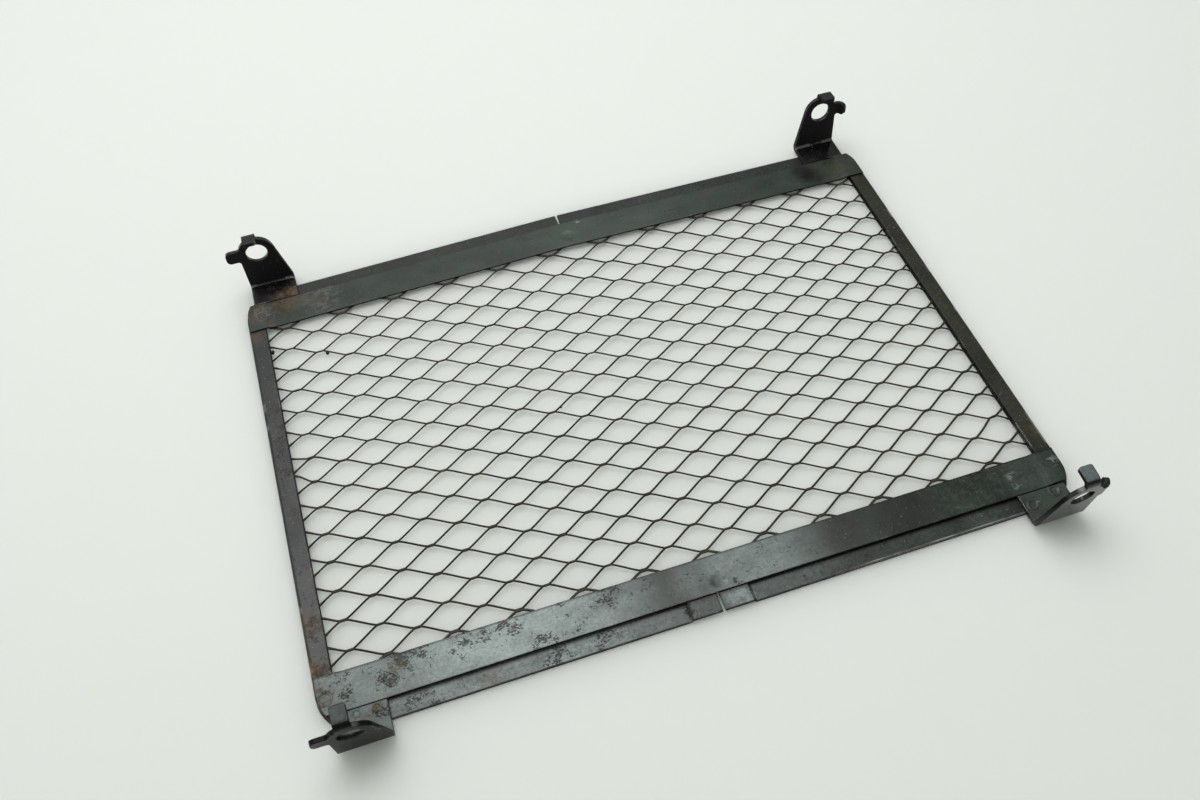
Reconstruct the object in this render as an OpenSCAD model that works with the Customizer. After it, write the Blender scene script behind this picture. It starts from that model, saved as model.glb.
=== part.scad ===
// Radiator guard of a small motorcycle: a panel of expanded steel mesh held in a frame of
// folded sheet. The frame is two C-shaped halves whose short sides are hemmed over the mesh.
// A flat strip lies along each long side and clamps the mesh against the halves. Four
// brackets are spot-welded to the flanges that project beyond the strips.
// The guard lies on its front face. X runs along its length, Y towards its top side, Z up.
// The origin is on the surface that it lies on, in the middle of the guard.

/* [Frame] */
// Length of the guard over the hemmed sides
frame_l = 300; // [200:1:420]
// Free height of the grille between the two strips
grille_h = 168.5; // [110:0.5:260]
// Thickness of the frame's sheet and of the strips
sheet_t = 0.8; // [0.6:0.1:1.2]
// Width of the C-shaped sheet along the long sides
leaf_w = 20; // [16:0.5:28]
// Width of the hem that is folded over the mesh on each short side
hem_w = 7.5; // [5:0.5:12]
// Length of the hem that runs on under each strip
hem_lap = 7; // [3:0.5:7]
// Radius of the outer corners
corner_r = 15; // [8:0.5:20]
// Outward bow of the top side at its middle
top_bow = 2.75; // [0:0.25:6]
// Gap between the halves at the inner edge of the top side
top_split = 0.4; // [0.2:0.1:2]
// Gap between the halves on the bottom side
bottom_split = 1.1; // [0.2:0.1:2]
// Length of each raised end beside the bottom gap
raised_l = 12; // [6:0.5:20]

/* [Strips] */
// Width of the two strips
strip_w = 15; // [12:0.5:20]
// Distance from a strip's inner edge back to the sheet's inner edge
leaf_inset = 2.5; // [1:0.5:4]
// Length over which a strip steps up onto a hem
step_l = 4; // [1:0.5:6]
// Distance from the sheet's outline back to a strip's ends
strip_back = 0.8; // [0:0.1:2]

/* [Mesh] */
// Thickness of the mesh where it is clamped
mesh_t = 1; // [0.8:0.1:1.6]
// Pitch of the diamonds along the guard
pitch_x = 24.9; // [18:0.1:32]
// Pitch of the diamonds across the guard
pitch_y = 12.1; // [8:0.1:16]
// Width of a strand
strand_w = 0.9; // [0.7:0.1:1.8]
// Height of a bond, where two strands meet
bond_h = 1.6; // [1.2:0.1:3]
// Length of a bond's flat
bond_l = 1.6; // [1:0.1:4]
// Distance along X from the middle of the guard to the nearest column of bonds
phase_x = 2.8; // [-12:0.1:12]
// Distance along Y from the middle of the guard to the nearest row of bonds
phase_y = 2.7; // [-6:0.1:6]
// Distance from the mesh's edge to a strip's outer edge
mesh_inset = 0.6; // [0.4:0.1:3]

/* [Brackets] */
// Thickness of a bracket
bracket_t = 1.8; // [1.2:0.1:2.5]
// Width of a bracket at its bend
bracket_w = 20; // [16:0.5:26]
// Distance from the centre line of a bracket's hole out to the end of the guard
hole_inset = 12.5; // [8:0.5:40]
// Diameter of the bolt hole
hole_d = 9.5; // [6:0.5:11]
// Height of the hole's centre above the bend, along the tab
hole_h = 18; // [13:0.5:26]
// Width of metal round the hole
rim_w = 3.2; // [2.5:0.1:5]
// Distance from the flange's outer edge to the inner face of a tab
tab_out = 5; // [3:0.5:10]
// Outward lean of a tab
tab_lean = 5.5; // [0:0.5:12]
// Inner radius of the bend
bend_r = 1; // [0.5:0.1:2]
// Gap between a foot and the strip beside it
foot_gap = 0.3; // [0.2:0.1:1]

/* [Prongs] */
// Width of the prong on top of a tab
top_prong_w = 5.6; // [4:0.1:8]
// Distance from the hole's centre line out to the middle of the top prong
top_prong_x = 1; // [-2:0.1:3]
// Height of the top prong's upper face above the hole's centre
top_prong_h = 11; // [9:0.5:14]
// Reach of the top prong, from the tab's outer face
top_prong_reach = 8; // [5:0.5:12]
// Width of the prong on the side of a tab
side_prong_w = 5.8; // [4:0.1:8]
// Length of the side prong beyond the tab's edge, measured flat
side_prong_l = 5.6; // [5.2:0.1:8]
// Inner radius of the prongs' bends
prong_r = 1.2; // [0.6:0.1:2]
// Angle by which the right-hand side prongs are bent towards the guard
side_bend = 70; // [30:5:80]

/* [Hidden] */
$fn = 48;
over = 1;            // how far a cutting shape reaches past what it cuts
arc_steps = 10;      // chords in a rounded outline corner
half_l = frame_l / 2;
strip_in = grille_h / 2;               // inner edge of a strip
strip_out = strip_in + strip_w;        // outer edge of a strip
leaf_in = strip_in + leaf_inset;       // inner edge of the sheet
leaf_out = leaf_in + leaf_w;           // outer edge of the flange
slope = atan(top_bow / half_l);        // slope of each half of the top side
mesh_z = sheet_t;                      // underside of the mesh
hem_z = mesh_z + mesh_t;               // underside of a hem and of a strip's middle
end_z = hem_z + sheet_t;               // underside of a strip's ends
fold_r = end_z / 2;                    // outer radius of the fold
hem_half = strip_in + hem_lap;         // half the length of a hem
step_start = half_l - hem_w - step_l;  // where a strip starts to step up
step_slack = step_l / 4;               // room between a strip's step and the hem's edge
mesh_side = half_l - fold_r;           // edge of the mesh inside the fold
mesh_out = strip_out - mesh_inset;     // edge of the mesh along the long sides
notch_x = raised_l + 2 * mesh_t + over;   // half the mesh's notch over the raised ends
notch_gap = 0.5;                       // room between the notched mesh and the raised ends
notch_y = notch_gap - leaf_in;         // edge of the mesh's notch
mesh_corner = [half_l - corner_r, leaf_out - corner_r];
foot_top = sheet_t + bracket_t;
hole_x = half_l - hole_inset;          // hole's centre line, from the middle of the guard
rim_r = hole_d / 2 + rim_w;
base_in = rim_r - bracket_w;           // inner edge of a bracket, from the hole's centre line
bend_y = leaf_out + tab_out;           // inner face of a tab, at the foot's top
bend_out_r = bend_r + bracket_t;
bend_c = [bend_y - bend_r * (1 - sin(tab_lean)) / cos(tab_lean), foot_top + bend_r];
tab_start = bend_r * (cos(tab_lean) - (1 - sin(tab_lean)) * tan(tab_lean));
hole_up = hole_h - tab_start;          // the hole's centre above the bend's centre, along the tab
prong_out_r = prong_r + bracket_t;
side_round = 2;                        // corner radius at the end of a side prong
top_round = 1;                         // corner radius at the end of a top prong
side_flat = 0.8;                       // straight piece before a side prong's bend
end_root = 0.5;                        // first part of a bent prong's end, short of its round corners
root_r = 1.2;                          // fillet at the root of a side prong

// How far the top side has moved outwards at x
function bow(x) = top_bow * (1 - abs(x) / half_l);

// Points of an arc round c from angle a to angle b
function arc(c, r, a, b) =
    [for (i = [0:arc_steps]) c + r * [cos(a + (b - a) * i / arc_steps), sin(a + (b - a) * i / arc_steps)]];

// Outline of the whole guard's sheet, without its brackets, or a line set back from it
module sheet_outline(back = 0) {
    corner_y = leaf_out + bow(half_l - corner_r) - corner_r / cos(slope);
    right = concat(arc([half_l - corner_r, corner_r - leaf_out], corner_r - back, -90, 0),
                   arc([half_l - corner_r, corner_y], corner_r - back, 0, 90 - slope));
    last = len(right) - 1;
    polygon(concat([[0, back - leaf_out]], right, [[0, leaf_out + top_bow - back / cos(slope)]],
                   [for (i = [last:-1:0]) [-right[i][0], right[i][1]]]));
}

// Band between two distances from the guard's middle line, on the bowed top side
module top_band(y0, y1) {
    polygon([[-half_l - over, y0 + bow(half_l + over)], [0, y0 + top_bow],
             [half_l + over, y0 + bow(half_l + over)], [half_l + over, y1 + bow(half_l + over)],
             [0, y1 + top_bow], [-half_l - over, y1 + bow(half_l + over)]]);
}

// The same band on the straight bottom side
module bottom_band(y0, y1) {
    translate([-half_l - over, -y1]) square([frame_l + 2 * over, y1 - y0]);
}

// Side view of a strip: flat in the middle, stepped up onto the hem at each end
module strip_profile() {
    a = step_start;
    b = half_l - hem_w - step_slack;
    polygon([[-half_l, end_z], [-b, end_z], [-a, hem_z], [a, hem_z], [b, end_z], [half_l, end_z],
             [half_l, end_z + sheet_t], [b, end_z + sheet_t], [a, end_z], [-a, end_z],
             [-b, end_z + sheet_t], [-half_l, end_z + sheet_t]]);
}

module strip(y_mid) {
    intersection() {
        linear_extrude(end_z + sheet_t) intersection() {
            sheet_outline(strip_back);
            children();
        }
        translate([0, y_mid, 0]) rotate([90, 0, 0])
            linear_extrude(strip_w + top_bow + 2 * over, center = true) strip_profile();
    }
}

module strip_top() {
    color([0.20, 0.23, 0.22]) strip(strip_in + (strip_w + top_bow) / 2) top_band(strip_in, strip_out);
}

module strip_bottom() {
    color([0.45, 0.49, 0.50]) strip(-strip_in - strip_w / 2) bottom_band(strip_in, strip_out);
}

// Plan of the right half's flat sheet
module leaf_plan() {
    end_x = top_split / 2;
    intersection() {
        difference() {
            sheet_outline();
            // the opening, whose top edge follows the bow
            polygon([[-half_l, -leaf_in], [half_l - hem_w, -leaf_in],
                     [half_l - hem_w, leaf_in + bow(half_l - hem_w)], [0, leaf_in + top_bow],
                     [-half_l, leaf_in + top_bow]]);
        }
        // the top end is cut square to its own edge, and the bottom end is cut straight
        union() {
            polygon([[end_x, 0], [half_l + over, 0], [half_l + over, leaf_out + top_bow + over],
                     [end_x + (leaf_w + over) * tan(slope), leaf_out + top_bow + over],
                     [end_x, leaf_in + top_bow]]);
            translate([raised_l + 2 * mesh_t, -leaf_out - over]) square([half_l, leaf_out + 2 * over]);
        }
    }
}

// The raised end beside the bottom gap, seen from the side
module raised_profile() {
    foot_x = raised_l + 2 * mesh_t;
    top_x = raised_l;
    polygon([[bottom_split / 2, mesh_t], [top_x, mesh_t], [top_x + mesh_t, 0], [foot_x, 0],
             [foot_x, sheet_t], [top_x + mesh_t, sheet_t], [top_x, sheet_t + mesh_t],
             [bottom_split / 2, sheet_t + mesh_t]]);
}

// Section through the fold and the hem
module hem_section() {
    translate([half_l - fold_r, fold_r]) intersection() {
        difference() {
            circle(fold_r);
            circle(fold_r - sheet_t);
        }
        translate([0, -fold_r]) square(2 * fold_r);
    }
    translate([half_l - hem_w, hem_z]) square([hem_w - fold_r, sheet_t]);
}

// Right-hand half of the frame
module frame_half() {
    difference() {
        linear_extrude(sheet_t) leaf_plan();
        translate([half_l - fold_r, -hem_half, -over]) cube([2 * fold_r, 2 * hem_half, sheet_t + 2 * over]);
    }
    translate([0, hem_half, 0]) rotate([90, 0, 0]) linear_extrude(2 * hem_half) hem_section();
    translate([0, -leaf_in, 0]) rotate([90, 0, 0]) linear_extrude(leaf_w) raised_profile();
}

module frame_right() {
    color([0.24, 0.23, 0.19]) frame_half();
}

module frame_left() {
    color([0.24, 0.23, 0.19]) mirror([1, 0, 0]) frame_half();
}

// Corners of one diamond opening of the expanded mesh, round c, with flats at its bonds
function diamond(c) =
    let (rise = pitch_y / 2, tilt = atan(rise / (pitch_x / 2 - bond_l)),
         // half a strand's width moves a sloping edge by this much along X
         tip = pitch_x / 2 - bond_l / 2 - strand_w / 2 / sin(tilt),
         flat_y = rise - bond_h / 2, flat_x = tip - flat_y / tan(tilt))
    [c + [tip, 0], c + [flat_x, flat_y], c + [-flat_x, flat_y],
     c + [-tip, 0], c + [-flat_x, -flat_y], c + [flat_x, -flat_y]];

// Outline of the mesh: its corners follow the frame's, and it is notched over the raised ends
module mesh_outline() {
    difference() {
        translate([-mesh_side, -mesh_out]) square([2 * mesh_side, 2 * mesh_out]);
        for (sx = [-1, 1], sy = [-1, 1]) scale([sx, sy]) difference() {
            translate(mesh_corner) square(corner_r);
            translate(mesh_corner) circle(corner_r - fold_r);
        }
        translate([-notch_x, -mesh_out - over]) square([2 * notch_x, notch_y + mesh_out + over]);
    }
}

// The sheet is uncut along its long edges, so no diamond breaks through them. Diamonds well
// inside the mesh are one cut-out with many corners. Those at its ends and at its notch,
// which are cut open, are taken off one by one.
module mesh_panel() {
    columns = ceil(frame_l / pitch_x) + 1;
    rows = ceil(2 * leaf_out / pitch_y) + 1;
    last_y = mesh_out - strand_w - pitch_y / 2;
    centres = [for (i = [-columns:columns], j = [-rows:rows])
        let (c = [phase_x + i * pitch_x / 2, phase_y + (j + 1) * pitch_y / 2])
        if ((i + j) % 2 == 0 && abs(c[1]) < last_y && abs(c[0]) < mesh_side + pitch_x / 2) c];
    is_inner = [for (c = centres) abs(c[0]) + pitch_x / 2 < mesh_side && abs(c[1]) < mesh_corner[1]
        && (abs(c[0]) > notch_x + pitch_x / 2 || c[1] > notch_y + pitch_y / 2)];
    inner = [for (k = [0:len(centres) - 1]) if (is_inner[k]) centres[k]];
    cut = [for (k = [0:len(centres) - 1]) if (!is_inner[k]) centres[k]];
    color([0.22, 0.22, 0.19]) translate([0, 0, mesh_z]) linear_extrude(mesh_t) difference() {
        mesh_outline();
        polygon([for (c = inner) each diamond(c)],
                [for (k = [0:len(inner) - 1]) [for (n = [0:5]) 6 * k + n]]);
        for (c = cut) polygon(diamond(c));
    }
}

// Point where a line from p touches the circle of radius r round c, on the clockwise side
function touch(p, c, r) =
    let (d = norm(p - c), a = atan2(p[1] - c[1], p[0] - c[0]) - acos(r / d)) c + r * [cos(a), sin(a)];

// What is kept of the tab's plate, with X out from the hole's centre line and Y up along the
// tab from the bend's centre. Below the bend it is wider than the bracket.
module tab_outline() {
    c = [0, hole_up];
    foot_corner = [base_in, 0];
    t = touch(foot_corner, c, rim_r);
    low = 2 * foot_corner - t;
    polygon([low, [rim_r + over, low[1]], [rim_r + over, hole_up], c, t]);
    translate(c) circle(rim_r);
}

// Fillets where the side prong leaves the tab: below it the tab's edge is straight, above it
// the edge is the rim round the hole
module root_fillets() {
    w = side_prong_w / 2;
    low = [rim_r + root_r, -w - root_r];
    high = [sqrt(pow(rim_r + root_r, 2) - pow(w + root_r, 2)), w + root_r];
    difference() {
        polygon([[rim_r - over, low[1]], [rim_r - over, -w], [low[0], -w], low]);
        translate(low) circle(root_r);
    }
    difference() {
        polygon([[0, w], [high[0], w], high, high * rim_r / (rim_r + root_r)]);
        translate(high) circle(root_r);
    }
}

// Tongue from the Y axis outwards, with rounded corners at its end
module tongue(length, width, r) {
    translate([0, -width / 2]) square([length - r, width]);
    translate([0, r - width / 2]) square([length, width - 2 * r]);
    for (s = [-1, 1]) translate([length - r, s * (width / 2 - r)]) circle(r);
}

// Side view of a bend through angle a, towards -Y, between a straight piece along X and the
// first part of the prong's end
module bend_section(a, straight) {
    translate([-straight, 0]) square([straight, bracket_t]);
    translate([0, -prong_r]) {
        intersection() {
            difference() {
                circle(prong_out_r);
                circle(prong_r);
            }
            polygon([[0, 0], [0, 2 * prong_out_r], 3 * prong_out_r * [sin(a / 2), cos(a / 2)],
                     2 * prong_out_r * [sin(a), cos(a)]]);
        }
        rotate(-a) translate([0, prong_r]) square([end_root, bracket_t]);
    }
}

// A bent prong along X, in the plate between Y = 0 and Y = bracket_t, bent towards -Y
module bent_prong(a, straight, end, width, r) {
    translate([0, 0, -width / 2]) linear_extrude(width) bend_section(a, straight);
    translate([0, -prong_r, 0]) rotate(-a) translate([0, prong_out_r, 0]) rotate([90, 0, 0])
        linear_extrude(bracket_t) tongue(end, width, min(r, end - end_root));
}

// Prong on top of the tab, bent over towards the guard
module top_prong() {
    rise = top_prong_h - prong_out_r;
    translate([top_prong_x, 0, rise]) rotate([0, -90, 0])
        bent_prong(90, rise - hole_d / 2 - over, top_prong_reach - prong_out_r, top_prong_w, top_round);
}

// Side prong, bent towards the guard or flat
module side_prong(bent) {
    end = side_prong_l - side_flat - side_bend * PI / 180 * (prong_r + bracket_t / 2);
    if (bent)
        translate([rim_r + side_flat, 0, 0])
            bent_prong(side_bend, side_flat + over, end, side_prong_w, side_round);
    else
        translate([0, bracket_t, 0]) rotate([90, 0, 0]) linear_extrude(bracket_t)
            translate([rim_r - over, 0]) tongue(side_prong_l + over, side_prong_w, side_round);
    translate([0, bracket_t, 0]) rotate([90, 0, 0]) linear_extrude(bracket_t) root_fillets();
}

// Side view of a bracket's foot, bend and leaning tab, from the bend's centre
module bracket_section(foot_l) {
    tab_l = hole_up + rim_r + over;
    difference() {
        union() {
            translate([-foot_l, -bend_out_r]) square([foot_l, bend_out_r]);
            circle(bend_out_r);
            rotate(-tab_lean) square([bend_out_r, tab_l]);
        }
        // the room above the foot, beside the tab and inside the bend
        translate([-foot_l - over, -bend_r]) square([foot_l + over, 2 * bend_out_r]);
        rotate(-tab_lean) translate([-2 * bend_out_r, 0]) square([2 * bend_out_r + bend_r, tab_l + over]);
        circle(bend_r);
    }
}

// Bracket at the right-hand end of the top side. edge is the inner edge of its foot.
module bracket(edge, bent) {
    foot_l = bend_c[0] - edge;
    translate([hole_x, bend_c[0], bend_c[1]]) difference() {
        union() {
            intersection() {
                translate([base_in, 0, 0]) rotate([90, 0, 90])
                    linear_extrude(bracket_w) bracket_section(foot_l);
                union() {
                    translate([base_in - over, -foot_l - over, -bend_out_r - over])
                        cube([bracket_w + 2 * over, foot_l + over, bend_out_r + over]);
                    rotate([90 - tab_lean, 0, 0])
                        linear_extrude(4 * bend_out_r, center = true) tab_outline();
                }
            }
            rotate([-tab_lean, 0, 0]) translate([0, bend_r, hole_up]) {
                top_prong();
                side_prong(bent);
            }
        }
        rotate([-tab_lean, 0, 0]) translate([0, 0, hole_up]) rotate([-90, 0, 0])
            cylinder(d = hole_d, h = 2 * bend_out_r);
    }
}

// Inner edge of a foot on the top side, clear of the bowed strip
top_edge = strip_out + bow(hole_x + base_in) + foot_gap;
bottom_edge = strip_out + foot_gap;

module bracket_top_right() {
    color([0.10, 0.10, 0.10]) bracket(top_edge, true);
}

module bracket_top_left() {
    color([0.10, 0.10, 0.10]) mirror([1, 0, 0]) bracket(top_edge, false);
}

module bracket_bottom_right() {
    color([0.30, 0.31, 0.29]) mirror([0, 1, 0]) bracket(bottom_edge, true);
}

module bracket_bottom_left() {
    color([0.30, 0.31, 0.29]) mirror([1, 0, 0]) mirror([0, 1, 0]) bracket(bottom_edge, false);
}

mesh_panel();
frame_left();
frame_right();
strip_top();
strip_bottom();
bracket_top_left();
bracket_top_right();
bracket_bottom_left();
bracket_bottom_right();
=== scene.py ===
"""Motorcycle radiator guard: expanded steel mesh in a folded, welded and painted sheet frame."""
import math

import bmesh
import bpy
from mathutils import Euler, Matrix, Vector, noise


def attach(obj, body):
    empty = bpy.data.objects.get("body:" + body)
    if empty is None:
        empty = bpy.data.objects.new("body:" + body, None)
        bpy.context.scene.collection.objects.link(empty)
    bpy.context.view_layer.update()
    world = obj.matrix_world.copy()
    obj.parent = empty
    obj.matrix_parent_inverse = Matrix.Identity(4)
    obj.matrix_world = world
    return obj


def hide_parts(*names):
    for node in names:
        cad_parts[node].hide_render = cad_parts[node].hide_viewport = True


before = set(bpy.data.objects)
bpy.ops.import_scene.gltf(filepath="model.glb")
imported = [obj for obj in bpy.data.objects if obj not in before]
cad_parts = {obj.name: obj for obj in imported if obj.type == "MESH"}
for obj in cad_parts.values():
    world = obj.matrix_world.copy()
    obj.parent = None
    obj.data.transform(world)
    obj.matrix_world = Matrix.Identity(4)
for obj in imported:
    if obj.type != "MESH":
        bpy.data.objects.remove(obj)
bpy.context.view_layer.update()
mm = 0.001

# The guard lies on a plain pale floor. The camera looks down on it from the near left, as the
# photograph does. A softbox hangs a little behind it, and soft daylight comes from the left.
camera = bpy.data.objects.new("camera", bpy.data.cameras.new("camera"))
camera.location = (-0.0854, -0.2544, 0.3741)
camera.rotation_euler = Euler([math.radians(turn) for turn in (35.209, 1.686, -18.165)])
camera.data.sensor_width = 36
camera.data.lens = 32.49
camera.data.clip_start = 0.01
bpy.context.scene.collection.objects.link(camera)
bpy.context.scene.camera = camera
bpy.context.scene.view_settings.view_transform = "Standard"

floor_half = 3.0
floor_corners = [(-floor_half, -floor_half, 0), (floor_half, -floor_half, 0),
                 (floor_half, floor_half, 0), (-floor_half, floor_half, 0)]
floor_mesh = bpy.data.meshes.new("floor")
floor_mesh.from_pydata(floor_corners, [], [(0, 1, 2, 3)])
floor = bpy.data.objects.new("floor", floor_mesh)
floor_paint = bpy.data.materials.new("pale_floor")
floor_paint.use_nodes = True
floor_shader = floor_paint.node_tree.nodes["Principled BSDF"]
floor_shader.inputs["Base Color"].default_value = (0.86, 0.89, 0.85, 1)
floor_shader.inputs["Roughness"].default_value = 0.8
floor_shader.inputs["Subsurface Weight"].default_value = 0.88
floor_shader.inputs["Subsurface Radius"].default_value = (1, 1, 1)
floor_shader.inputs["Subsurface Scale"].default_value = 25 * mm
floor_mesh.materials.append(floor_paint)
bpy.context.scene.collection.objects.link(floor)


def add_node(tree, kind, inputs=(), **settings):
    """A new shader node, with each input linked or set as given."""
    made = tree.nodes.new("ShaderNode" + kind)
    for name, value in settings.items():
        setattr(made, name, value)
    for key, value in dict(inputs).items():
        if isinstance(value, bpy.types.NodeSocket):
            tree.links.new(value, made.inputs[key])
        else:
            made.inputs[key].default_value = value
    return made


def ramp(tree, value, low, high, at_low=0.0, at_high=1.0):
    """An eased change from at_low to at_high while the value goes from low to high."""
    made = add_node(tree, "MapRange", {"Value": value, "From Min": low, "From Max": high,
                                       "To Min": at_low, "To Max": at_high},
                    interpolation_type="SMOOTHSTEP")
    return made.outputs["Result"]


daylight = bpy.data.worlds.new("soft_daylight")
daylight.use_nodes = True
sky = daylight.node_tree.nodes["Background"]
sky.inputs["Color"].default_value = (0.97, 1.0, 0.96, 1)
direction = add_node(daylight.node_tree, "TexCoord").outputs["Generated"]
to_right, to_far = add_node(daylight.node_tree, "SeparateXYZ", {0: direction}).outputs[0:2]
left_to_right = ramp(daylight.node_tree, to_right, 0.0, 0.5, 0.60, 0.30)
near_to_far = ramp(daylight.node_tree, to_far, -0.8, -0.1, 0.5, 1.0)
sky_strength = add_node(daylight.node_tree, "Math", {0: left_to_right, 1: near_to_far},
                        operation="MULTIPLY").outputs[0]
daylight.node_tree.links.new(sky_strength, sky.inputs["Strength"])
bpy.context.scene.world = daylight

softbox = bpy.data.lights.new("overhead_softbox", "AREA")
softbox.shape = "RECTANGLE"
softbox.size, softbox.size_y = 1.0, 0.8
softbox.energy = 7.9
hung = bpy.data.objects.new("overhead_softbox", softbox)
hung.location = (-0.05, 0.40, 1.05)
hung.rotation_euler = (Vector((0, 0, 0)) - hung.location).to_track_quat("-Z", "Y").to_euler()
bpy.context.scene.collection.objects.link(hung)


# Each half of the frame is one C-shaped piece of 0.8 mm steel sheet, folded over the mesh in a
# hem on its short side and painted black. Its paint is thin, and rust shows at the left corner.
bare_steel = (0.42, 0.41, 0.39, 1)
highlight_grey = (0.30, 0.32, 0.31, 1)
scratch_and_glint_grey = (0.24, 0.27, 0.27, 1)
pale_dust = (0.26, 0.27, 0.24, 1)
brown_tinge = (0.038, 0.031, 0.020, 1)
dark_stain = (0.020, 0.018, 0.013, 1)
painted_rim_shade = (0.004, 0.004, 0.003, 1)
rust_film = (0.115, 0.076, 0.041, 1)
dark_rust = (0.036, 0.022, 0.013, 1)
bright_rust = (0.165, 0.092, 0.044, 1)
hem_end_y = 90.0
prong_top_z = 26.0
foot_top_z = 4.0


def reckon(tree, operation, a, b):
    return add_node(tree, "Math", {0: a, 1: b}, operation=operation).outputs[0]


def times(tree, a, b):
    return reckon(tree, "MULTIPLY", a, b)


def blend(tree, amount, under, over):
    """The colour over laid on the colour under, as thick as the amount says."""
    made = add_node(tree, "Mix", data_type="RGBA")
    for socket, value in ((0, amount), (6, under), (7, over)):
        if isinstance(value, bpy.types.NodeSocket):
            tree.links.new(value, made.inputs[socket])
        else:
            made.inputs[socket].default_value = value
    return made.outputs[2]


def grain(tree, place, scale, detail=3.0, roughness=0.55, stretch=(1, 1, 1)):
    """Noise whose blotches are about 1 / scale metres across."""
    stretched = add_node(tree, "VectorMath", {0: place, 1: stretch},
                         operation="MULTIPLY").outputs[0]
    made = add_node(tree, "TexNoise", {"Vector": stretched, "Scale": scale, "Detail": detail,
                                       "Roughness": roughness})
    return made.outputs["Fac"]


def near_spots(tree, place, spots):
    """Full strength, 1 or as given, inside the spots (x, y, radius[, strength]) in mm.

    Each spot is full over its inner quarter and fades to 0 at its radius."""
    total = None
    flat = add_node(tree, "VectorMath", {0: place, 1: (1, 1, 0)}, operation="MULTIPLY").outputs[0]
    for x, y, radius, *strength in spots:
        away = add_node(tree, "VectorMath", {0: flat, 1: (x * mm, y * mm, 0)},
                        operation="DISTANCE").outputs["Value"]
        full = strength[0] if strength else 1.0
        inside = ramp(tree, away, radius * mm, 0.25 * radius * mm, 0, full)
        total = inside if total is None else reckon(tree, "MAXIMUM", total, inside)
    return total


def weld_marks(tree, place, welds):
    """Height of a spot weld's shallow dish and of the uneven rim pressed up round it."""
    wander = 0.8
    dish_depth = 1.4
    total = None
    uneven = add_node(tree, "TexNoise", {"Vector": place, "Scale": 300, "Detail": 1}).outputs["Color"]
    moved = add_node(tree, "VectorMath", {0: uneven, 1: (wander * mm, wander * mm, 0), 2: place},
                     operation="MULTIPLY_ADD").outputs[0]
    flat = add_node(tree, "VectorMath", {0: moved, 1: (1, 1, 0)}, operation="MULTIPLY").outputs[0]
    for x, y, radius in welds:
        middle = ((x + wander / 2) * mm, (y + wander / 2) * mm, 0)
        away = add_node(tree, "VectorMath", {0: flat, 1: middle},
                        operation="DISTANCE").outputs["Value"]
        rim = ramp(tree, away, 1.25 * radius * mm, 1.0 * radius * mm)
        dish = ramp(tree, away, 0.95 * radius * mm, 0.6 * radius * mm)
        mark = reckon(tree, "SUBTRACT", rim, times(tree, dish, dish_depth))
        total = mark if total is None else reckon(tree, "ADD", total, mark)
    return total


def faded_colour(tree, place, facing, fresh, faded, hem, faded_and_sheen_spots, faded_and_sheen_colour, outer_face_dust_and_sheen, prong_top_dust_and_sheen):
    """The paint's colour: faded in clouds, and other on hems. In spots it is faded and painted
    lighter as a painted sheen; on the tabs' outer faces and prong tops it is dust and a painted
    reflection.
    """
    outward, upward = add_node(tree, "SeparateXYZ", {0: facing}).outputs[1:3]
    across, height = add_node(tree, "SeparateXYZ", {0: place}).outputs[1:3]
    cloud = ramp(tree, grain(tree, place, 26, 5, 0.6), 0.35, 0.68)
    colour = blend(tree, cloud, (*fresh, 1), (*faded, 1))
    if hem:
        from_middle = reckon(tree, "ABSOLUTE", across, 0.0)
        on_hem = ramp(tree, from_middle, hem_end_y * mm, (hem_end_y - 4) * mm)
        colour = blend(tree, on_hem, colour, blend(tree, cloud, (*hem[0], 1), (*hem[1], 1)))
    # Faded paint and painted sheen: in these spots, up-facing faces are painted lighter, and this
    # also stands in for a reflection.
    if faded_and_sheen_spots:
        patchy = ramp(tree, grain(tree, place, 75, 5, 0.6), 0.3, 0.6, 0.75, 1.0)
        faded_and_sheen = times(tree, near_spots(tree, place, faded_and_sheen_spots), patchy)
        faded_and_sheen = times(tree, faded_and_sheen, ramp(tree, upward, 0.5, 0.9))
        faded_and_sheen = times(tree, faded_and_sheen, ramp(tree, height, (foot_top_z + 2) * mm, foot_top_z * mm))
        colour = blend(tree, faded_and_sheen, colour, (*faded_and_sheen_colour, 1))
    # Dust and painted reflection: faces that look out to the near side are painted lighter.
    if outer_face_dust_and_sheen:
        colour = blend(tree, ramp(tree, outward, -0.90, -0.98), colour, (*outer_face_dust_and_sheen, 1))
    # Dust and painted sheen: prong tops that face up are painted lighter.
    if prong_top_dust_and_sheen:
        on_top = times(tree, ramp(tree, upward, 0.80, 0.95),
                       ramp(tree, height, (prong_top_z - 2) * mm, prong_top_z * mm))
        colour = blend(tree, on_top, colour, (*prong_top_dust_and_sheen, 1))
    return colour


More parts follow.
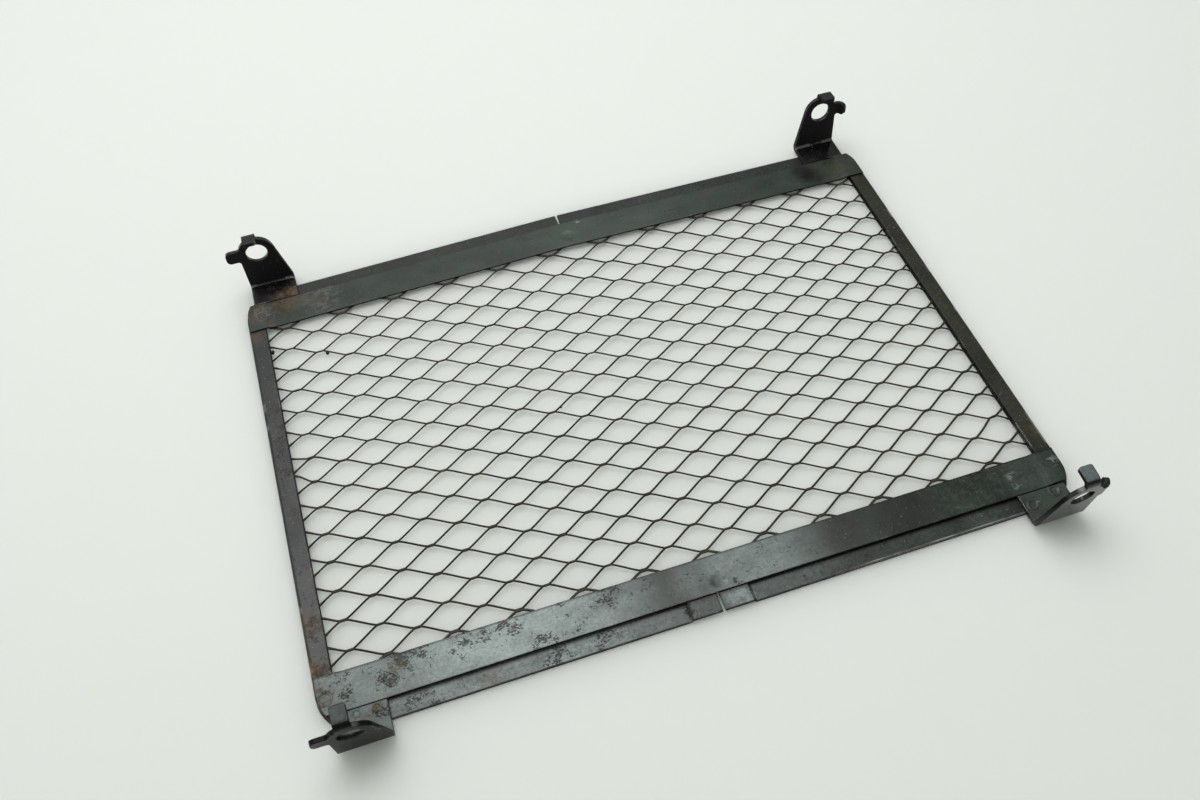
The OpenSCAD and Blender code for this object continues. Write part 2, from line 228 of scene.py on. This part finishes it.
def mottling_and_shade(tree, place, facing, gritty, smudges_and_shade, dark_edges):
    """How much lighter or darker the paint is from place to place. Upright faces, cut edges among
    them, are darkened as painted shade.
    """
    upward = add_node(tree, "SeparateXYZ", {0: facing}).outputs["Z"]
    across = add_node(tree, "SeparateXYZ", {0: place}).outputs["Y"]
    blotches = ramp(tree, grain(tree, place, 130, 5, 0.65, (0.45, 1, 1)), 0.3, 0.7, 0.8, 1.2)
    grit = ramp(tree, grain(tree, place, 800, 4, 0.7), 0.3, 0.7, 1 - gritty, 1 + gritty)
    mottled_and_shaded = times(tree, blotches, grit)
    # Painted shade: upright faces are darkened.
    mottled_and_shaded = times(tree, mottled_and_shaded, ramp(tree, upward, 0.2, 0.7, 0.2, 1.0))
    # Smudges and painted shade: the spots are darkened.
    if smudges_and_shade:
        outside_smudges_and_shade = reckon(tree, "SUBTRACT", 1.0, near_spots(tree, place, smudges_and_shade))
        mottled_and_shaded = times(tree, mottled_and_shaded, outside_smudges_and_shade)
    for y0, y1, strength in dark_edges:
        mottled_and_shaded = times(tree, mottled_and_shaded,
                        ramp(tree, across, y0 * mm, y1 * mm, 1.0, 1 - strength))
    return mottled_and_shaded


def stain_layer(tree, place, stains):
    """Fine dark stains, crowded together in the spots."""
    blotch = reckon(tree, "ADD", grain(tree, place, 1500, 4, 0.65, (0.7, 1, 1)),
                    times(tree, near_spots(tree, place, stains), 0.17))
    uneven = ramp(tree, grain(tree, place, 230, 3), 0.3, 0.7, -0.14, 0.14)
    return ramp(tree, reckon(tree, "ADD", blotch, uneven), 0.69, 0.78, 0, 0.9)


def rust_layers(tree, place, rust):
    """The thin brown film round the rusty spots, and the broken crust in them."""
    near_rust = near_spots(tree, place, rust)
    film = times(tree, near_rust, ramp(tree, grain(tree, place, 210, 5, 0.7), 0.36, 0.62, 0, 0.75))
    broken = reckon(tree, "ADD", grain(tree, place, 300, 6, 0.75), times(tree, near_rust, 0.26))
    return film, ramp(tree, broken, 0.68, 0.88, 0, 0.85)


def scratch_and_glint_layer(tree, place, scratches_and_glints):
    """Fine scratches both ways in the spots; some spots are painted glints."""
    lengthways = ramp(tree, grain(tree, place, 900, 4, 0.6, (0.3, 1, 1)), 0.50, 0.60)
    crossways = ramp(tree, grain(tree, place, 700, 4, 0.6, (1, 0.25, 1)), 0.54, 0.64)
    return times(tree, reckon(tree, "MAXIMUM", lengthways, crossways),
                 near_spots(tree, place, scratches_and_glints))


def rubbed_through(tree, place, turned, worn, wear):
    """Where the paint is rubbed off the rounded corners, which face another way than the flat."""
    thin = grain(tree, place, 110, 4)
    if worn:
        thin = reckon(tree, "ADD", thin, times(tree, near_spots(tree, place, worn), 0.4))
    corner = times(tree, ramp(tree, turned, 0.9995, 0.993), ramp(tree, turned, 0.90, 0.96))
    return times(tree, corner, ramp(tree, thin, 0.66 - 0.3 * wear, 0.76 - 0.3 * wear, 0, 0.8))


def painted_highlight_line(tree, place, x0, x1, y0, y1):
    """A painted highlight: a bright line beside the flange's outer edge."""
    soft = 0.15
    along, across = add_node(tree, "SeparateXYZ", {0: place}).outputs[0:2]
    line = times(tree, ramp(tree, across, (y0 + soft) * mm, y0 * mm),
                 ramp(tree, across, (y1 - soft) * mm, y1 * mm))
    line = times(tree, line, ramp(tree, along, x0 * mm, x1 * mm))
    return times(tree, line, ramp(tree, grain(tree, place, 90, 4), 0.35, 0.6, 0.2, 0.8))


def steel_paint(name, fresh, faded, roughness, hem=None, outer_face_dust_and_sheen=None, prong_top_dust_and_sheen=None, faded_and_sheen_colour=(0, 0, 0),
                faded_and_sheen_spots=(), stains=(), rust=(), smudges_and_shade=(), dark_edges=(), scratches_and_glints=(), worn=(),
                highlight_strip=(), welds=(), dents=(), wear=0.5, edge=0.4, wavy=0.25, gritty=0.2,
                brown=0.22, shine=0.5, level=False):
    """Black paint on sheet steel: faded in clouds, stained, worn at its edges and rusty in places,
    with painted shade on its upright faces and edges and painted sheen, highlights and glints in
    spots.

    Fresh, faded and hem are colours, and so are the colours for outer faces, prong tops and faded
    spots. Most marks are lists of spots, as near_spots takes them. dark_edges are bands (y0, y1,
    strength) painted darker, and the highlight strip is one strip (x0, x1, y0, y1). Edge is the
    radius of the rounded corners. All places are in mm."""
    made = bpy.data.materials.new(name)
    made.use_nodes = True
    tree = made.node_tree
    shader = tree.nodes["Principled BSDF"]
    place = add_node(tree, "TexCoord").outputs["Object"]
    facing = add_node(tree, "NewGeometry").outputs["Normal"]
    upward = add_node(tree, "SeparateXYZ", {0: facing}).outputs["Z"]

    colour = faded_colour(tree, place, facing, fresh, faded, hem, faded_and_sheen_spots, faded_and_sheen_colour, outer_face_dust_and_sheen, prong_top_dust_and_sheen)
    mottled_and_shaded = mottling_and_shade(tree, place, facing, gritty, smudges_and_shade, dark_edges)
    colour = add_node(tree, "VectorMath", {0: colour, "Scale": mottled_and_shaded},
                      operation="SCALE").outputs[0]
    browned = ramp(tree, grain(tree, place, 95, 5, 0.7), 0.50, 0.66, 0, brown)
    colour = blend(tree, browned, colour, brown_tinge)
    dust = ramp(tree, grain(tree, place, 1300, 2), 0.66, 0.76, 0, min(2 * gritty, 0.9))
    colour = blend(tree, dust, colour, pale_dust)

    dulled = [(dust, 0.3)]
    if stains:
        stained = stain_layer(tree, place, stains)
        colour = blend(tree, stained, colour, dark_stain)
        dulled.append((stained, 0.25))
    if rust:
        film, crust = rust_layers(tree, place, rust)
        colour = blend(tree, film, colour, rust_film)
        crust_tone = ramp(tree, grain(tree, place, 700, 4), 0.35, 0.65)
        colour = blend(tree, crust, colour, blend(tree, crust_tone, dark_rust, bright_rust))
        dulled.append((crust, 0.45))
    if scratches_and_glints:
        colour = blend(tree, scratch_and_glint_layer(tree, place, scratches_and_glints), colour, scratch_and_glint_grey)

    rounded = add_node(tree, "Bevel", {"Radius": edge * mm}, samples=4).outputs[0]
    turned = add_node(tree, "VectorMath", {0: rounded, 1: facing},
                      operation="DOT_PRODUCT").outputs["Value"]
    rubbed = rubbed_through(tree, place, turned, worn, wear)
    # Painted shade: a dark line along the rounded edges.
    colour = blend(tree, ramp(tree, turned, 0.98, 0.92), colour, painted_rim_shade)
    colour = blend(tree, rubbed, colour, bare_steel)
    # Painted highlight beside the near flange's outer edge.
    if highlight_strip:
        colour = blend(tree, painted_highlight_line(tree, place, *highlight_strip), colour, highlight_grey)
    tree.links.new(colour, shader.inputs["Base Color"])

    dullness = ramp(tree, grain(tree, place, 60, 5, 0.6), 0.3, 0.75,
                    roughness - 0.05, roughness + 0.12)
    for layer, amount in dulled:
        dullness = reckon(tree, "ADD", dullness, times(tree, layer, amount))
    if outer_face_dust_and_sheen is None:
        # the cut edges of the sheet are rough
        dullness = reckon(tree, "MAXIMUM", dullness, ramp(tree, upward, 0.5, 0.1, 0, 0.9))
    tree.links.new(dullness, shader.inputs["Roughness"])
    tree.links.new(times(tree, rubbed, 0.6), shader.inputs["Metallic"])
    shader.inputs["Specular IOR Level"].default_value = shine

    bump = rounded
    if level:
        # the step over the hem's end is pressed so softly that it hardly shows
        lift = times(tree, ramp(tree, upward, 0.90, 0.95), 3.0)
        lift = add_node(tree, "CombineXYZ", {"Z": lift}).outputs[0]
        bump = add_node(tree, "VectorMath", {0: rounded, 1: lift}, operation="ADD").outputs[0]
        bump = add_node(tree, "VectorMath", {0: bump}, operation="NORMALIZE").outputs[0]
    relief = [(grain(tree, place, 28, 2), wavy), (grain(tree, place, 700, 3), 0.035)]
    if welds:
        relief.append((weld_marks(tree, place, welds), 0.28))
    if dents:
        relief.append((near_spots(tree, place, dents), -0.4))
    if stains:
        relief.append((stained, -0.05))
    if rust:
        relief.append((times(tree, crust, grain(tree, place, 1300, 4, 0.7)), 0.2))
    for shape, depth in relief:
        bump = add_node(tree, "Bump", {"Height": shape, "Distance": depth * mm, "Strength": 1.0,
                                       "Normal": bump}).outputs[0]
    tree.links.new(bump, shader.inputs["Normal"])
    return made


def repaint(node, paint):
    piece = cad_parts[node]
    piece.data.materials.clear()
    piece.data.materials.append(paint)


# Painted shade on the frames: black beyond the near flange's outer edge, and darker from beside the
# near strip's edge onward, where the strip's shadow falls.
flange_shade_bands = [(-106.1, -106.35, 1.0), (-101.4, -99.8, 0.6)]
# The flange's faded spots are also a painted sheen.
flange_faded_and_sheen_colour = (0.165, 0.20, 0.193)
left_frame_paint = steel_paint(
    "left_frame_paint", (0.018, 0.025, 0.020), (0.038, 0.046, 0.041), 0.34,
    hem=((0.022, 0.028, 0.026), (0.052, 0.057, 0.053)),
    faded_and_sheen_colour=flange_faded_and_sheen_colour, faded_and_sheen_spots=[(-78, -103, 85), (-146, -25, 14, 0.2), (-146, -75, 14, 0.2)],
    stains=[(-147, 20, 60, 0.4), (-146, -80, 40, 0.5), (-113, -105, 12, 0.8), (-64, -102, 10),
            (-46, -101, 9), (-12, -104, 6)],
    rust=[(-149, -86, 14), (-147, -64, 9, 0.7), (-147, 84, 10, 0.8), (-146, -100, 12),
          (-90, -104, 6, 0.6)],
    smudges_and_shade=[(-146, 22, 12, 0.5)], dark_edges=flange_shade_bands,
    wear=0.3, edge=0.7, gritty=0.4, shine=0.4)
right_frame_paint = steel_paint(
    "right_frame_paint", (0.007, 0.012, 0.008), (0.017, 0.026, 0.019), 0.32,
    hem=((0.030, 0.034, 0.019), (0.056, 0.060, 0.038)),
    faded_and_sheen_colour=flange_faded_and_sheen_colour, faded_and_sheen_spots=[(22, -103, 38, 0.25), (7.5, -103, 9, 0.9),
                                    (112, -103, 14, 0.15), (60, 103, 90, 0.17)],
    stains=[(60, -103, 30, 0.4)], rust=[(149, -74, 6, 0.6)],
    scratches_and_glints=[(2.4, -101.6, 1.5, 0.8), (12.6, -103.8, 2.2, 0.6)],
    # The rubbed spot along the near flange's outer edge is partly a painted highlight.
    worn=[(85, -107, 60), (150, -74, 12)],
    highlight_strip=(40, 65, -105.7, -106.05), dark_edges=flange_shade_bands,
    wear=0.35, edge=0.7, gritty=0.5, shine=0.36)
repaint("frame_left", left_frame_paint)
repaint("frame_right", right_frame_paint)


# The grille is one sheet of steel, slit and pulled open into diamonds. Each strand is a ribbon
# that stands at a slant, joined to the strand of the next row at every second bend. The frame's
# hems and the strips clamp its edges. All sizes are in mm.
grille_half_l = 142.5
grille_half_h = 84.25
frame_half_l = 150.0
top_bow = 2.75
half_pitch_x = 12.45
half_pitch_y = 6.05
first_bond = (2.8, 2.7)
bond_half = 1.45
ribbon_w = 0.92
ribbon_t = 0.66
broken_edge = 0.10
slant = 50.0
lean_spread = 5.0
sideways_waver = 0.22
height_waver = 0.10
bend_softness = 0.12
steps_per_bend = 9
mesh_mid_z = 1.38
clamped_z = 1.3
under_hem = 5.5
under_bottom_strip = 6
under_top_strip = 8
middle_rise = 0.6
bent_places = ((-142.0, 9.0, -2.6, 4.5), (-140.0, -1.5, 2.2, 4.0), (-136.5, 6.0, -1.2, 3.5),
               (141.5, -66, 1.2, 5.0))
uncut_edges = ((-140, 140, 91.5, 98.6), (-140, -15.2, -98.6, -91.5), (15.2, 140, -98.6, -91.5))
uncut_z = (0.84, 1.76)
spatter = ((-141.7, 70.9, 0.95), (-118.7, 62.6, 0.85), (-30.5, 1.0, 0.6))
spatter_z = 1.6


def bow(x):
    """How far the far side bows out."""
    return top_bow * (1 - abs(x) / frame_half_l)


def pulled(x, y):
    """How far the sheet's uneven pull has carried a strand from its even place, and how far up."""
    u, v = min(max(x / 100, -1.4), 1.4), min(max(y / 100, -0.8), 0.8)
    along = (-0.23 - 0.26 * u + 0.45 * v - 0.06 * u ** 2 - 2.54 * v ** 2 - 0.07 * u ** 3
             + 2.75 * v ** 4 + 0.69 * u * v - 1.585 * u * v ** 2 - 0.41 * u ** 3 * v
             - 0.33 * u ** 4)
    across = (2.61 + 1.59 * v - 0.28 * u ** 2 - 4.88 * v ** 2 + 6.15 * v ** 4
              + 0.34 * u * v ** 2 + 0.83 * u * v ** 3 - 0.47 * u ** 3 * v - 0.44 * u ** 2 * v
              - 1.01 * u ** 2 * v ** 2)
    rise = middle_rise * max(1 - (x / 150) ** 2, 0) * max(1 - (y / 88) ** 2, 0)
    return Vector((along, across, rise))


def eased(t):
    t = min(max(t, 0), 1)
    return t * t * (3 - 2 * t)


def free_of_clamps(x, y):
    """0 where the sheet and the strips press the mesh flat, 1 well inside the grille."""
    to_top = grille_half_h + bow(x) - y
    to_bottom = y + grille_half_h
    to_side = grille_half_l - abs(x)
    return eased(min(to_top / 1.5, to_bottom / 1.2, to_side / 2.5))


def strand_points(row):
    """Centre and slant of a strand's sections, from one end of the grille to the other."""
    y_mid = first_bond[1] + (row + 0.5) * half_pitch_y
    strand_end = grille_half_l + under_hem
    first = math.floor((-strand_end - first_bond[0]) / half_pitch_x)
    last = math.ceil((strand_end - first_bond[0]) / half_pitch_x)
    points = []
    for k in range(first * steps_per_bend, last * steps_per_bend + 1):
        column, step = divmod(k, steps_per_bend)
        x = first_bond[0] + k / steps_per_bend * half_pitch_x
        if abs(x) > strand_end:
            continue
        side = 1 if (column + row) % 2 else -1
        t = (step / steps_per_bend * half_pitch_x - bond_half) / (half_pitch_x - 2 * bond_half)
        t = min(max(t, 0), 1)
        t = (1 - bend_softness) * t + bend_softness * eased(t)
        swing = side * (1 - 2 * t)
        pull = pulled(x, y_mid)
        free = free_of_clamps(x + pull.x, y_mid + pull.y)
        lean = lean_spread * noise.noise(Vector((x / 30, y_mid / 9, 3)))
        tilt = math.radians(slant * free + lean * free)
        y = y_mid + swing * (half_pitch_y / 2 - ribbon_w / 2 * math.cos(tilt))
        z = clamped_z + (mesh_mid_z - clamped_z) * free + swing * ribbon_w / 2 * math.sin(tilt)
        y += sideways_waver * free * noise.noise(Vector((x / 22, y_mid / 11, 0)))
        for bent_x, bent_y, push, reach in bent_places:
            y += push * math.exp(-((x - bent_x) ** 2 + (y_mid - bent_y) ** 2) / reach ** 2)
        z += height_waver * free * noise.noise(Vector((x / 40, y_mid / 15, 9)))
        points.append((Vector((x, y, z)) + pull, tilt))
    return points


def ribbon_section(centre, tangent, tilt):
    """Eight corners of a ribbon's section, square to the strand, with its edges broken."""
    across = Vector((0, math.cos(tilt), -math.sin(tilt)))
    across = (across - across.dot(tangent) * tangent).normalized()
    up = tangent.cross(across)
    w, t, cut = ribbon_w / 2, ribbon_t / 2, broken_edge
    corners = [(w, t - cut), (w - cut, t), (cut - w, t), (-w, t - cut),
               (-w, cut - t), (cut - w, -t), (w - cut, -t), (w, cut - t)]
    return [centre + a * across + b * up for a, b in corners]


def cut_away(p):
    """The sheet is cut away where the frame's raised ends lie under the near strip."""
    return abs(p.x) < 15.5 and p.y < -86


verts, faces = [], []
section = range(8)
first_row = math.floor((-grille_half_h - under_bottom_strip) / half_pitch_y)
last_row = math.ceil((grille_half_h + under_top_strip) / half_pitch_y)
for row in range(first_row, last_row):
    points = strand_points(row)
    before = None
    for i, (centre, tilt) in enumerate(points):
        ahead, behind = points[min(i + 1, len(points) - 1)][0], points[max(i - 1, 0)][0]
        tangent = (ahead - behind).normalized()
        if cut_away(centre):
            if before is not None:
                faces.append(tuple(before + c for c in section))
            before = None
            continue
        start = len(verts)
        verts.extend(ribbon_section(centre, tangent, tilt))
        if before is None:
            faces.append(tuple(start + c for c in reversed(section)))
        else:
            for c in section:
                d = (c + 1) % len(section)
                faces.append((before + c, before + d, start + d, start + c))
        before = start
    if before is not None:
        faces.append(tuple(before + c for c in section))

# the uncut edges of the sheet lie between the frame and the strips
box_sides = ((3, 2, 1, 0), (4, 5, 6, 7), (0, 1, 5, 4), (1, 2, 6, 5), (2, 3, 7, 6), (3, 0, 4, 7))
for x0, x1, y0, y1 in uncut_edges:
    start = len(verts)
    corners = ((x0, y0), (x1, y0), (x1, y1), (x0, y1))
    verts.extend(Vector((x, y, z)) for z in uncut_z for x, y in corners)
    faces.extend(tuple(start + c for c in side) for side in box_sides)

# drops of weld spatter that stuck to the strands
for x, y, radius in spatter:
    drop = bmesh.new()
    bmesh.ops.create_icosphere(drop, subdivisions=2, radius=radius)
    start = len(verts)
    verts.extend(Vector((x, y, spatter_z)) + v.co * (1 + 0.25 * noise.noise(v.co * 2))
                 for v in drop.verts)
    faces.extend(tuple(start + v.index for v in face.verts) for face in drop.faces)
    drop.free()

grille_mesh = bpy.data.meshes.new("expanded_mesh")
grille_mesh.from_pydata([v * mm for v in verts], [], faces)
grille = bpy.data.objects.new("expanded_mesh", grille_mesh)
bpy.context.scene.collection.objects.link(grille)
for polygon in grille_mesh.polygons:
    polygon.use_smooth = True
mesh_paint = steel_paint(
    "mesh_paint", (0.012, 0.011, 0.003), (0.030, 0.028, 0.010), 0.48,
    wear=0.05, edge=0.15, wavy=0.0, gritty=0.12, brown=0.1, shine=0.35)
grille_mesh.materials.append(mesh_paint)
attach(grille, "root")
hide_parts("mesh_panel")


# Two flat strips of the same sheet lie along the long sides and clamp the mesh. They step up
# onto the hems at their ends and are spot-welded; the bottom one is scuffed and pitted.
top_strip_paint = steel_paint(
    "top_strip_paint", (0.013, 0.023, 0.016), (0.024, 0.038, 0.028), 0.30,
    faded_and_sheen_colour=(0.26, 0.36, 0.29), faded_and_sheen_spots=[(12, 95, 45, 0.05)],
    stains=[(-138, 92, 22, 0.8), (-110, 95, 16, 0.8), (121, 97, 7, 0.6), (127, 89, 6, 0.6)],
    rust=[(-132, 97, 10), (-145, 95, 10, 0.8), (-140, 88, 6, 0.6), (-120, 98, 12, 0.5),
          (138, 95, 14, 0.4)],
    smudges_and_shade=[(120.5, 97, 6, 0.7), (127, 89, 5.5, 0.7), (124, 93, 8, 0.95), (126, 104, 4, 0.7),
             (-45, 95, 35, 0.15)],
    scratches_and_glints=[(8, 101, 2), (-142, 93, 7, 0.4), (-115, 95, 14, 0.25)],
    dents=[(1.4, 93.3, 4, 0.4)],
    wear=0.15, edge=0.7, gritty=0.16, shine=0.43, level=True)
bottom_strip_paint = steel_paint(
    "bottom_strip_paint", (0.007, 0.013, 0.007), (0.018, 0.027, 0.018), 0.28,
    # The strip's left and middle are faded and painted lighter as a painted reflection.
    faded_and_sheen_colour=(0.275, 0.33, 0.318),
    faded_and_sheen_spots=[(-76, -93, 68), (18, -93, 36, 0.56), (-8, -93, 14, 0.3), (-132, -92, 34, 0.55),
              (136, -92, 18, 0.12)],
    stains=[(-141, -90, 13, 0.9), (-124, -91, 10), (-118, -85.5, 10), (-108, -85, 10),
            (-96, -85, 11), (-86, -85, 9, 0.9), (-78, -85.5, 9), (-66, -98.5, 9),
            (-52, -97.5, 6, 0.8), (-58, -86, 8, 0.8), (-40, -86, 9, 0.8), (-28, -86, 8, 0.8),
            (8.5, -97.5, 3), (24, -86, 5, 0.6), (127, -92, 4), (146, -90, 6)],
    rust=[(-148, -92, 9, 0.8), (-120, -88, 5, 0.6), (-124, -97, 4, 0.6)],
    # Painted shade: the dark smear at the dent's left and the two darker patches on the right.
    smudges_and_shade=[(0.6, -95, 4.2, 0.5), (-3.5, -93.5, 5, 0.25), (4.4, -94.7, 0.9, 0.8),
             (82, -92, 18, 0.7), (54, -92, 12, 0.5)],
    dark_edges=[(-85.4, -84.6, 0.6)],
    scratches_and_glints=[(127.5, -90.5, 3.5, 0.6), (127, -95, 2.5, 0.5), (146.5, -90, 3.5, 0.7),
             (4.3, -96.3, 1.6), (3.6, -90.8, 2, 0.7), (2.2, -89.3, 2, 0.6),
             (112, -92, 25, 0.08)],
    welds=[(-122.5, -93, 2.5), (-146.4, -93, 2.5)], dents=[(1.8, -95.0, 3.6, 0.6)],
    wear=0.15, edge=0.7, gritty=0.22, shine=0.34, level=True)
repaint("strip_top", top_strip_paint)
repaint("strip_bottom", bottom_strip_paint)


# The four brackets are stamped from 1.8 mm steel, bent up from a foot that is spot-welded to
# the flange, and painted a glossier black. Their paint is rubbed off along the bends, and the
# near ones are scuffed and dusty on their outer faces and on the tops of their prongs, which
# are also painted lighter as a painted reflection.
far_bracket_paint = steel_paint(
    "far_bracket_paint", (0.004, 0.004, 0.004), (0.010, 0.010, 0.011), 0.20,
    stains=[(-132, 104, 10, 0.6)], rust=[(-127, 102, 8), (-134, 101, 7, 0.7)],
    wear=0.45, edge=0.6, brown=0.05)
near_left_bracket_paint = steel_paint(
    "near_left_bracket_paint", (0.005, 0.006, 0.005), (0.012, 0.014, 0.012), 0.26,
    # Outer faces and prong tops: dust and a painted reflection.
    outer_face_dust_and_sheen=(0.032, 0.040, 0.032), prong_top_dust_and_sheen=(0.085, 0.095, 0.090),
    faded_and_sheen_colour=(0.175, 0.205, 0.20), faded_and_sheen_spots=[(-131, -103, 17)],
    stains=[(-131.5, -102.5, 5, 0.9), (-126, -105, 5, 0.8), (-137, -105, 4, 0.8)],
    rust=[(-129.5, -101.6, 4), (-134, -104, 3, 0.7)],
    welds=[(-136.8, -101.5, 1.4), (-129.5, -101.6, 1.6)],
    wear=0.4, edge=0.6, brown=0.05, shine=0.08)
near_right_bracket_paint = steel_paint(
    "near_right_bracket_paint", (0.005, 0.006, 0.005), (0.012, 0.014, 0.012), 0.22,
    # Outer faces and prong tops: dust and a painted reflection.
    outer_face_dust_and_sheen=(0.150, 0.145, 0.118), prong_top_dust_and_sheen=(0.125, 0.140, 0.145),
    faded_and_sheen_colour=(0.044, 0.057, 0.046), faded_and_sheen_spots=[(137, -101, 26)],
    # Painted glints: the two scratched spots at the upper right of the weld marks.
    scratches_and_glints=[(142.4, -101.4, 1.0), (131.5, -104.4, 1.0)], worn=[(122, -103, 6)],
    welds=[(140.2, -102.0, 2.0), (129.2, -104.7, 2.0)],
    wear=0.5, edge=0.6, brown=0.08)
repaint("bracket_top_left", far_bracket_paint)
repaint("bracket_top_right", far_bracket_paint)
repaint("bracket_bottom_left", near_left_bracket_paint)
repaint("bracket_bottom_right", near_right_bracket_paint)
